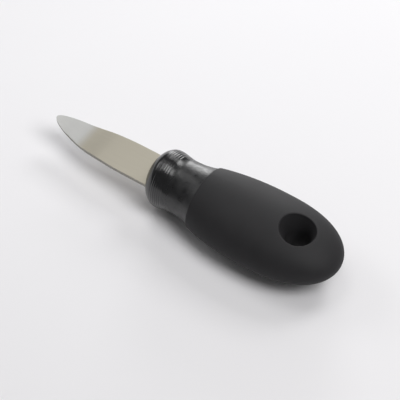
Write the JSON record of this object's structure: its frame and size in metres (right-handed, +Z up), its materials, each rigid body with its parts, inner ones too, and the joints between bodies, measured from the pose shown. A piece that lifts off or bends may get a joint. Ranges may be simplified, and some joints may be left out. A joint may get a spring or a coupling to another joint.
{
  "type": "oyster knife",
  "caption": "Oyster knife with a short pointed blade whose tip bends up, a glossy ridged collar and a fat soft oval grip with a funnel-shaped hanging hole.",
  "frame": {"origin": "on the surface the knife lies on, under the middle of its length and width", "axes": "+X runs along the knife from the blade's tip to the butt of the grip, +Y across the blade, +Z up"},
  "size_m": [0.1694, 0.0462, 0.0328],
  "materials": {
    "blade_steel": "satin",
    "collar_gloss": "polished",
    "core_plastic": "moulded",
    "grip_rubber": "matte"
  },
  "bodies": {
    "root": {"blade": "blade_steel", "collar": "collar_gloss", "core": "core_plastic", "grip_sleeve": "grip_rubber"}
  },
  "joints": []
}
